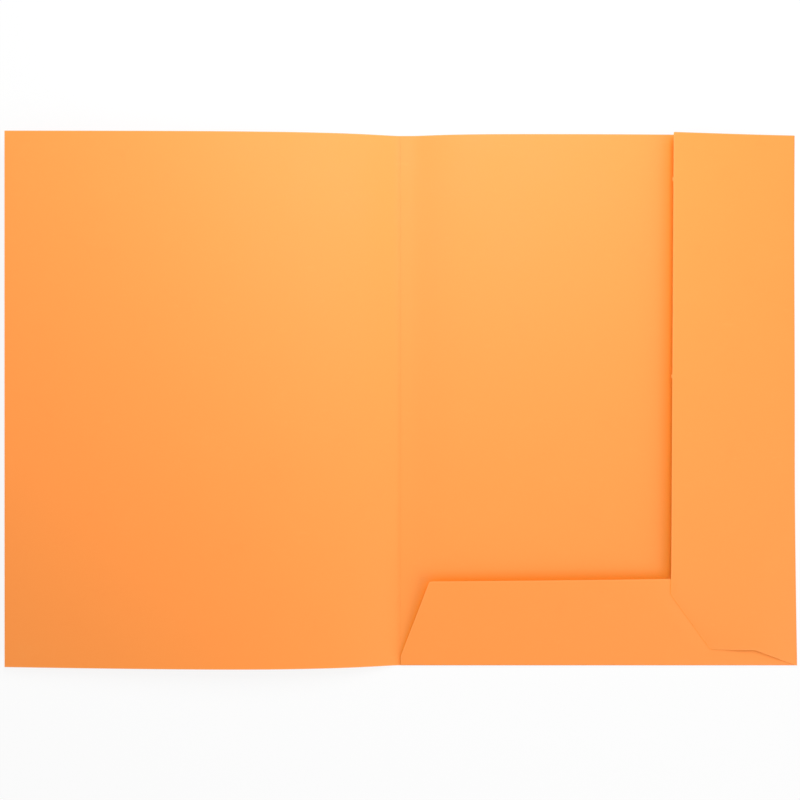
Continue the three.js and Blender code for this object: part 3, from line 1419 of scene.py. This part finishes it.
class RolledFoldTree:
    """Geometry Nodes that bend a strip of card round a fold's axis.

    The strip runs along an arm on the panel, round the roll and along an arm on the flap.
    """

    NAME = "Rolled Fold"

    def __init__(self) -> None:
        """Builds the tree once."""
        self.tree = bpy.data.node_groups.new(self.NAME, "GeometryNodeTree")
        self.sockets: dict[str, str] = {}
        self._build()

    def _input(self, label: str, kind: str, default: object = None) -> None:
        """Adds a named input and remembers its identifier.

        Args:
            label: the input's name.
            kind: its socket type.
            default: its value unless a strip gives its own.
        """
        socket = self.tree.interface.new_socket(label, in_out="INPUT", socket_type=kind)
        if default is not None:
            socket.default_value = default
        self.sockets[label] = socket.identifier

    def _build(self) -> None:
        """Adds the nodes."""
        tree = self.tree
        for label, default in (
            ("Length", 0.3),
            ("Roll Radius", 0.0006),
            ("Card", 0.0004),
            ("Arm", 0.002),
            ("Lift", 0.1),
        ):
            self._input(label, "NodeSocketFloat", default)
        self._input("Steps", "NodeSocketInt", 48)
        self._input("Divisions", "NodeSocketInt", 20)
        self._input("Material", "NodeSocketMaterial")
        tree.interface.new_socket("Geometry", in_out="OUTPUT", socket_type="NodeSocketGeometry")
        canvas = NodeCanvas(tree)
        start = canvas.add("NodeGroupInput")
        end = canvas.add("NodeGroupOutput")
        value = start.outputs
        turn = canvas.math("SUBTRACT", math.pi, value["Lift"])
        roll = canvas.math("MULTIPLY", value["Roll Radius"], turn)
        whole = canvas.math("ADD", canvas.math("MULTIPLY", value["Arm"], 2.0), roll)
        box = {"X": whole, "Y": value["Length"], "Z": value["Card"]}
        size = canvas.add("ShaderNodeCombineXYZ", box)
        flat = canvas.add(
            "GeometryNodeMeshCube",
            {
                "Size": size.outputs[0],
                "Vertices X": value["Steps"],
                "Vertices Y": value["Divisions"],
                "Vertices Z": 2,
            },
        )
        place = canvas.add("GeometryNodeInputPosition").outputs[0]
        parts = canvas.add("ShaderNodeSeparateXYZ", {0: place})
        run = canvas.math("ADD", parts.outputs["X"], canvas.math("MULTIPLY", whole, 0.5))
        radius = canvas.math("ADD", value["Roll Radius"], parts.outputs["Z"])
        first = canvas.math("MINIMUM", run, value["Arm"])
        past = canvas.math("MAXIMUM", canvas.math("SUBTRACT", run, value["Arm"]), 0.0)
        angle = canvas.math("MINIMUM", canvas.math("DIVIDE", past, value["Roll Radius"]), turn)
        third = canvas.math("MAXIMUM", canvas.math("SUBTRACT", past, roll), 0.0)
        in_x = canvas.math("SUBTRACT", value["Arm"], first)
        bulge = canvas.math("MULTIPLY", radius, canvas.math("SINE", angle))
        in_x = canvas.math("SUBTRACT", in_x, bulge)
        back = canvas.math("MULTIPLY", third, canvas.math("COSINE", value["Lift"]))
        in_x = canvas.math("ADD", in_x, back)
        drop = canvas.math("MULTIPLY", radius, canvas.math("COSINE", angle))
        in_z = canvas.math("MULTIPLY", third, canvas.math("SINE", value["Lift"]))
        in_z = canvas.math("SUBTRACT", in_z, drop)
        spot = canvas.add("ShaderNodeCombineXYZ", {"X": in_x, "Y": parts.outputs["Y"], "Z": in_z})
        bent = canvas.add(
            "GeometryNodeSetPosition",
            {"Geometry": flat.outputs[0], "Position": spot.outputs[0]},
        )
        real = canvas.add("GeometryNodeRealizeInstances", {"Geometry": bent.outputs[0]})
        dressed = canvas.add(
            "GeometryNodeSetMaterial",
            {"Geometry": real.outputs[0], "Material": value["Material"]},
        )
        canvas.feed(end.inputs[0], dressed.outputs[0])

    def strip(self, name: str, sizes: dict[str, float | int], material: Material) -> Piece:
        """Makes one strip as a plain mesh.

        Args:
            name: the object's name.
            sizes: the tree's inputs by name.
            material: the strip's material.

        Returns:
            The strip about the origin: X inwards, Z up, its length along Y.
        """
        holder = bpy.data.objects.new(name, bpy.data.meshes.new(name))
        bpy.context.scene.collection.objects.link(holder)
        modifier = holder.modifiers.new("roll", "NODES")
        modifier.node_group = self.tree
        for label, size in sizes.items():
            modifier[self.sockets[label]] = size
        modifier[self.sockets["Material"]] = material
        bpy.context.view_layer.update()
        made = holder.evaluated_get(bpy.context.evaluated_depsgraph_get())
        mesh = bpy.data.meshes.new_from_object(made)
        holder.modifiers.remove(modifier)
        holder.data = mesh
        return holder


@dataclass
class FoldStrip:
    """A rolled fold between a panel and a flap, made by the Rolled Fold tree."""

    sheet: Sheet
    tree: RolledFoldTree
    node: str
    body: Body
    roll: float
    steps: int = 56
    divisions: int = 47
    crisp_angle: float = 0.8

    def make(self, length: float, face: Material) -> tuple[Piece, np.ndarray]:
        """Makes the strip about the origin.

        Args:
            length: how long the fold is.
            face: the strip's material.

        Returns:
            The object and its points, with cut_mm and fold_mm set.
        """
        sizes = {
            "Length": length,
            "Roll Radius": self.roll,
            "Card": self.sheet.card,
            "Arm": self.sheet.fold_arm,
            "Lift": self.sheet.flap_lift,
            "Steps": self.steps,
            "Divisions": self.divisions,
        }
        strip = self.tree.strip(f"{self.node}_card", sizes, face)
        mesh = strip.data
        points = np.empty(len(mesh.vertices) * 3)
        mesh.vertices.foreach_get("co", points)
        points = points.reshape(-1, 3)
        crest = (math.pi - self.sheet.flap_lift) / 2
        angle = np.arctan2(-points[:, 0], -points[:, 2])
        on_roll = self.roll * np.abs(angle - crest)
        fold = np.where(points[:, 0] < 0, on_roll, self.roll * crest + points[:, 0])
        cut = length / 2 - np.abs(points[:, 1])
        shade(mesh, cut / MM, fold / MM)
        return strip, points

    def finish(self, strip: Piece, placed: np.ndarray, start: Triple, end: Triple) -> Piece:
        """Puts the strip in place.

        Args:
            strip: the object.
            placed: its points in place.
            start: where it begins to leave the panel; not used.
            end: where it follows the flap; not used.

        Returns:
            The finished strip.
        """
        strip.data.vertices.foreach_set("co", placed.ravel())
        strip.data.update()
        self._turn_out_and_sharpen(strip.data)
        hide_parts(self.node)
        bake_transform(strip)
        return strip

    def _turn_out_and_sharpen(self, mesh: bpy.types.Mesh) -> None:
        """Points the faces outwards and keeps the strip's long edges crisp.

        Args:
            mesh: the strip's mesh.
        """
        work = bmesh.new()
        work.from_mesh(mesh)
        bmesh.ops.remove_doubles(work, verts=work.verts[:], dist=MERGE)
        bmesh.ops.recalc_face_normals(work, faces=work.faces[:])
        for edge in work.edges:
            edge.smooth = not edge.is_manifold or edge.calc_face_angle(0.0) < self.crisp_angle
        work.to_mesh(mesh)
        work.free()


@dataclass
class SideFold(FoldStrip):
    """The right fold, which swells a little where the bottom flap lies inside it."""

    swell_top: float = -40 * MM
    swell_span: float = 118 * MM
    swell_power: float = 1.5
    dip: float = 0.3 * MM
    dip_at: float = 100 * MM
    dip_span: float = 60 * MM
    trim_reach: float = 8 * MM

    def build(self, face: Material, low_slope: float, low_start: float) -> Piece:
        """Makes the right fold's strip.

        Args:
            face: the strip's material.
            low_slope: how fast the flap's lower cut edge climbs from the corner.
            low_start: how far up that edge starts.

        Returns:
            The finished strip.
        """
        sheet = self.sheet
        length = sheet.height - sheet.corner_notch
        strip, points = self.make(length, face)
        inward, along, up = points.T
        y = along + sheet.corner_notch / 2
        swell = np.clip((self.swell_top - y) / self.swell_span, 0, 1) ** self.swell_power
        low = swell * sheet.corner_swell
        high = np.exp(-(((y - self.dip_at) / self.dip_span) ** 2)) * self.dip
        held = 1 - smooth_step(np.clip(inward, 0, None) / sheet.fold_arm)
        x = sheet.side_axis[0] - inward + (low - high) * held
        near_end = np.clip(1 - (y - sheet.bottom_y) / self.trim_reach, 0, 1)
        step = low_start - sheet.corner_notch / 2
        climb = inward * low_slope + smooth_step(inward / sheet.fold_arm) * step
        y = y + np.where((up > 0) & (inward > 0), climb, 0) * near_end
        placed = np.stack([x, y, up + sheet.side_axis[1]], axis=-1)
        start = (sheet.side_axis[0], 0.0, 0.0)
        end = (sheet.side_axis[0], 0.0, 2 * sheet.side_axis[1])
        return self.finish(strip, placed, start, end)


@dataclass
class BottomFold(FoldStrip):
    """The bottom fold, from the spine line to the right fold."""

    first: float = 0.6 * MM

    def build(self, face: Material) -> Piece:
        """Makes the bottom fold's strip.

        Args:
            face: the strip's material.

        Returns:
            The finished strip.
        """
        sheet = self.sheet
        left = sheet.spine_x + self.first
        right = sheet.right_x + sheet.corner_swell / 2
        strip, points = self.make(right - left, face)
        inward, along, up = points.T
        y, z = sheet.bottom_axis
        placed = np.stack([along + (left + right) / 2, inward + y, up + z], axis=-1)
        start = (0.0, y, 0.0)
        end = (0.0, y, 2 * z)
        return self.finish(strip, placed, start, end)


@dataclass(frozen=True)
class Lamp:
    """A soft square lamp, aimed at the middle of the folder."""

    name: str
    place: Triple
    size: float
    power: float

    def build(self) -> None:
        """Makes the lamp and points it."""
        light = bpy.data.lights.new(self.name, "AREA")
        light.shape = "SQUARE"
        light.size = self.size
        light.energy = self.power
        lamp = bpy.data.objects.new(self.name, light)
        lamp.location = self.place
        way = -Vector(self.place)
        lamp.rotation_euler = way.to_track_quat("-Z", "Y").to_euler()
        lamp.visible_camera = False
        bpy.context.scene.collection.objects.link(lamp)


@dataclass
class Studio:
    """The table, the three lamps and the camera straight above."""

    camera_height: float = 0.700
    camera_aside: Point = (-0.52 * MM, 0.37 * MM)
    pixels_per_metre: float = 1653.0
    picture_width: float = 800.0
    sensor_width: float = 36.0
    table_tone: Triple = (0.86, 0.86, 0.86)
    table_glow: float = 0.86
    table_half: float = 12.0
    table_level: float = -0.3 * MM
    table_near: float = 0.33
    table_far: float = 0.75
    ambient: float = 0.42
    lamps: list[Lamp] = field(
        default_factory=lambda: [
            Lamp("key_above_the_page", (0.04, 0.33, 0.46), size=0.42, power=2.75),
            Lamp("far_lower_right", (1.0, -0.75, 0.6), size=1.1, power=8.8),
            Lamp("far_left", (-1.1, 0.1, 0.6), size=1.1, power=1.2),
        ]
    )

    def build(self) -> None:
        """Makes the whole studio."""
        self._table()
        self._world()
        for lamp in self.lamps:
            lamp.build()
        self._camera()
        bpy.context.scene.view_settings.view_transform = "Standard"

    def _table(self) -> None:
        """A plain pale table top just under the folder."""
        mesh = bpy.data.meshes.new("table_top")
        half, level = self.table_half, self.table_level
        mesh.from_pydata(
            [(-half, -half, level), (half, -half, level), (half, half, level), (-half, half, level)],
            [],
            [(0, 1, 2, 3)],
        )
        table = bpy.data.objects.new("table_top", mesh)
        bpy.context.scene.collection.objects.link(table)
        material = bpy.data.materials.new("pale_table")
        canvas = NodeCanvas.cleared(material)
        seen = canvas.seen_directly()
        top = canvas.add("ShaderNodeBsdfDiffuse", {"Color": (*self.table_tone, 1.0)})
        white = canvas.add("ShaderNodeEmission", {"Color": WHITE, "Strength": 1.0})
        place = canvas.add("ShaderNodeTexCoord").outputs["Object"]
        away = canvas.add("ShaderNodeVectorMath", {0: place}, operation="LENGTH").outputs["Value"]
        glow = canvas.remap(away, self.table_near, self.table_far, self.table_glow, 1.0)
        share = canvas.math("MULTIPLY", seen, glow)
        both = canvas.add("ShaderNodeMixShader", {0: share, 1: top.outputs[0], 2: white.outputs[0]})
        out = canvas.add("ShaderNodeOutputMaterial")
        canvas.feed(out.inputs["Surface"], both.outputs[0])
        mesh.materials.append(material)

    def _world(self) -> None:
        """Even light all round, seen as white."""
        world = bpy.data.worlds.new("soft_room")
        bpy.context.scene.world = world
        canvas = NodeCanvas.cleared(world)
        seen = canvas.seen_directly()
        room = canvas.add("ShaderNodeBackground", {"Color": WHITE, "Strength": self.ambient})
        white = canvas.add("ShaderNodeBackground", {"Color": WHITE, "Strength": 1.0})
        both = canvas.add("ShaderNodeMixShader", {0: seen, 1: room.outputs[0], 2: white.outputs[0]})
        out = canvas.add("ShaderNodeOutputWorld")
        canvas.feed(out.inputs["Surface"], both.outputs[0])

    def _camera(self) -> None:
        """A camera straight above the middle of the folder, framed as the photograph is."""
        data = bpy.data.cameras.new("camera")
        data.sensor_width = self.sensor_width
        picture = self.picture_width / self.pixels_per_metre
        data.lens = self.camera_height * self.sensor_width / picture
        data.clip_start = 0.01
        camera = bpy.data.objects.new("camera", data)
        camera.location = (*self.camera_aside, self.camera_height)
        bpy.context.scene.collection.objects.link(camera)
        bpy.context.scene.camera = camera


def main() -> None:
    """Builds the folder and its studio, piece by piece."""
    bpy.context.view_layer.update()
    sheet = Sheet()
    shaders = CardShaders()
    face = shaders.material(CARD_FACE)
    rolled = shaders.material(CARD_FOLD)
    core = shaders.material(CARD_CORE)
    tree = RolledFoldTree()
    side_flap = SideFlap(sheet)
    side_fold = SideFold(sheet, tree, "side_fold", Body.SIDE_FLAP, sheet.side_roll)
    bottom_fold = BottomFold(sheet, tree, "bottom_fold", Body.BOTTOM_FLAP, sheet.bottom_roll)
    made = [
        BackPanel(sheet).build(face, core),
        Cover(sheet).build(face, core),
        SpineStrip(sheet).build(face, core),
        side_flap.build(face, core),
        BottomFlap(sheet, side_flap).build(face, core),
        side_fold.build(rolled, side_flap.low_slope, side_flap.start),
        bottom_fold.build(rolled),
    ]
    Studio().build()
    for piece in made:
        LOG.info("%s: %d faces", piece.name, len(piece.data.polygons))


if __name__ == "__main__":
    main()
